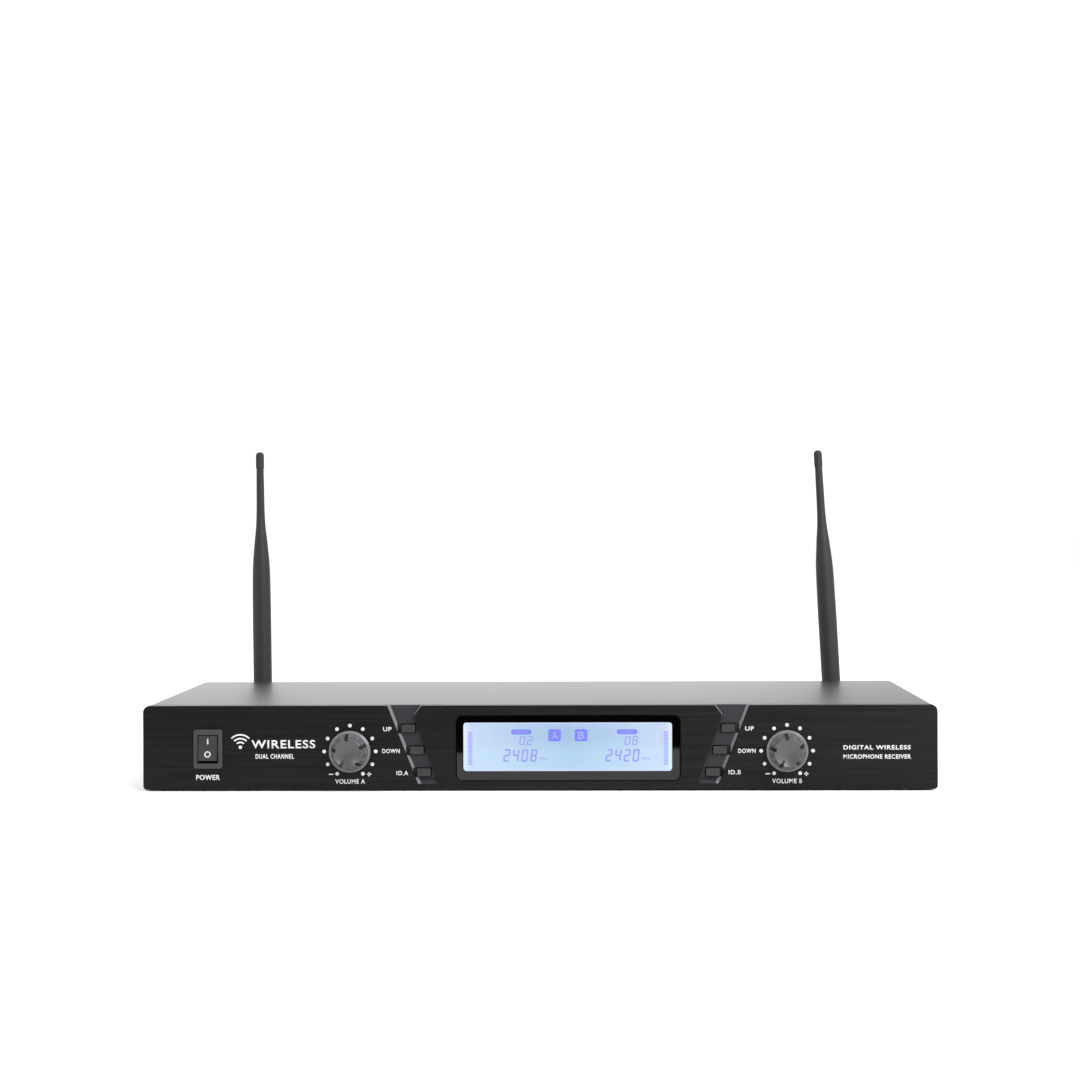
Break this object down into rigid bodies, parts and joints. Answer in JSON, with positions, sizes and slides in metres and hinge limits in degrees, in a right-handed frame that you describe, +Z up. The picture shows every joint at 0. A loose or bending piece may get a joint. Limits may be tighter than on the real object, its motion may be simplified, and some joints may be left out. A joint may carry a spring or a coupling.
{
  "type": "wireless receiver unit",
  "caption": "Low, wide two channel wireless microphone receiver: metal case, backlit display, volume knobs, keys, rocker switch and hinged aerials.",
  "frame": {"origin": "bottom centre of the whole unit's bounding box, under the feet", "axes": "+X to the right as the user sees the front, +Y to the back, +Z up"},
  "size_m": [0.42, 0.2366, 0.1852],
  "materials": {
    "panel_black": "black brushed and anodised aluminium",
    "case_black": "satin black powder paint on steel",
    "lens_black": "gloss black printed acrylic with a clear window",
    "lcd": "backlit blue-white liquid crystal cell",
    "light": "white light guide",
    "white_plastic": "white moulded frame",
    "board_green": "green solder mask",
    "plain_black": "black moulding",
    "key_grey": "grey moulding, fine grain",
    "knob_grey": "dark satin grey",
    "steel": "bright steel",
    "tin": "tin plate",
    "brass_plate": "gold flashed brass",
    "nickel": "nickel plate",
    "die_cast": "satin die cast zinc",
    "rubber": "matt black rubber",
    "aerial_black": "satin black moulding",
    "wire_black": "black insulation",
    "ribbon_grey": "grey insulation",
    "screw_black": "black zinc"
  },
  "bodies": {
    "case": {"front_panel": "panel_black", "display_lens": "lens_black", "lcd_glass": "lcd", "backlight": "light", "lcd_frame": "white_plastic", "control_board": "board_green", "tact_switches": "plain_black", "pot_bushings": "nickel", "pot_housings": "plain_black", "pot_nuts": "nickel", "switch_housing": "key_grey", "switch_terminals": "brass_plate", "base_tray": "case_black", "top_cover": "case_black", "rubber_feet": "rubber", "panel_screws": "screw_black", "cover_screws": "screw_black", "xlr_screws": "screw_black", "board_screws": "steel", "main_board": "board_green", "board_standoffs": "nickel", "rf_shields": "tin", "board_chips": "plain_black", "capacitors": "die_cast", "xlr_shell_a": "die_cast", "xlr_shell_b": "die_cast", "xlr_insert_a": "plain_black", "xlr_insert_b": "plain_black", "xlr_pins_a": "nickel", "xlr_pins_b": "nickel", "jack_socket": "plain_black", "jack_nut": "nickel", "dc_inlet": "plain_black", "dc_pin": "nickel", "aerial_sockets": "brass_plate", "aerial_nuts": "brass_plate", "aerial_collar_a": "brass_plate", "aerial_collar_b": "brass_plate", "coax_leads": "wire_black", "power_leads": "wire_black", "ribbon_cable": "ribbon_grey"},
    "rocker": {"power_rocker": "plain_black"},
    "knob_a": {"volume_knob_a": "knob_grey", "knob_shaft_a": "steel"},
    "up_key_a": {"button_up_a": "key_grey"},
    "down_key_a": {"button_down_a": "key_grey"},
    "id_key_a": {"button_id_a": "key_grey"},
    "aerial_base_a": {"aerial_elbow_a": "aerial_black", "hinge_pin_a": "steel"},
    "aerial_a": {"aerial_whip_a": "aerial_black", "aerial_tip_a": "aerial_black"},
    "knob_b": {"volume_knob_b": "knob_grey", "knob_shaft_b": "steel"},
    "up_key_b": {"button_up_b": "key_grey"},
    "down_key_b": {"button_down_b": "key_grey"},
    "id_key_b": {"button_id_b": "key_grey"},
    "aerial_base_b": {"aerial_elbow_b": "aerial_black", "hinge_pin_b": "steel"},
    "aerial_b": {"aerial_whip_b": "aerial_black", "aerial_tip_b": "aerial_black"}
  },
  "joints": [
    {"name": "power_rocker_tilt", "type": "hinge", "parent": "case", "child": "rocker", "pos_m": [-0.1753, -0.10493, 0.0225], "axis": [1, 0, 0], "range_deg": [0, 18]},
    {"name": "volume_turn_a", "type": "hinge", "parent": "case", "child": "knob_a", "pos_m": [-0.10005, -0.11033, 0.0211], "axis": [0, 1, 0], "range_deg": [0, 300]},
    {"name": "up_press_a", "type": "slide", "parent": "case", "child": "up_key_a", "axis": [0, 1, 0], "range_m": [0, 0.0005], "stiffness_N_per_m": 800, "springref_m": -0.0005},
    {"name": "down_press_a", "type": "slide", "parent": "case", "child": "down_key_a", "axis": [0, 1, 0], "range_m": [0, 0.0005], "stiffness_N_per_m": 800, "springref_m": -0.0005},
    {"name": "id_press_a", "type": "slide", "parent": "case", "child": "id_key_a", "axis": [0, 1, 0], "range_m": [0, 0.0005], "stiffness_N_per_m": 800, "springref_m": -0.0005},
    {"name": "aerial_swivel_a", "type": "hinge", "parent": "case", "child": "aerial_base_a", "pos_m": [-0.1747, 0.11267, 0.0248], "axis": [0, 1, 0], "range_deg": [-89.5, 90.5]},
    {"name": "aerial_fold_a", "type": "hinge", "parent": "aerial_base_a", "child": "aerial_a", "pos_m": [-0.1747, 0.11267, 0.0248], "axis": [-1, 0, -0.0087], "range_deg": [0, 90]},
    {"name": "volume_turn_b", "type": "hinge", "parent": "case", "child": "knob_b", "pos_m": [0.13075, -0.11033, 0.0211], "axis": [0, 1, 0], "range_deg": [0, 300]},
    {"name": "up_press_b", "type": "slide", "parent": "case", "child": "up_key_b", "axis": [0, 1, 0], "range_m": [0, 0.0005], "stiffness_N_per_m": 800, "springref_m": -0.0005},
    {"name": "down_press_b", "type": "slide", "parent": "case", "child": "down_key_b", "axis": [0, 1, 0], "range_m": [0, 0.0005], "stiffness_N_per_m": 800, "springref_m": -0.0005},
    {"name": "id_press_b", "type": "slide", "parent": "case", "child": "id_key_b", "axis": [0, 1, 0], "range_m": [0, 0.0005], "stiffness_N_per_m": 800, "springref_m": -0.0005},
    {"name": "aerial_swivel_b", "type": "hinge", "parent": "case", "child": "aerial_base_b", "pos_m": [0.1747, 0.11267, 0.0248], "axis": [0, 1, 0], "range_deg": [-86.8, 93.2]},
    {"name": "aerial_fold_b", "type": "hinge", "parent": "aerial_base_b", "child": "aerial_b", "pos_m": [0.1747, 0.11267, 0.0248], "axis": [-0.9984, 0, -0.0558], "range_deg": [0, 90]}
  ]
}
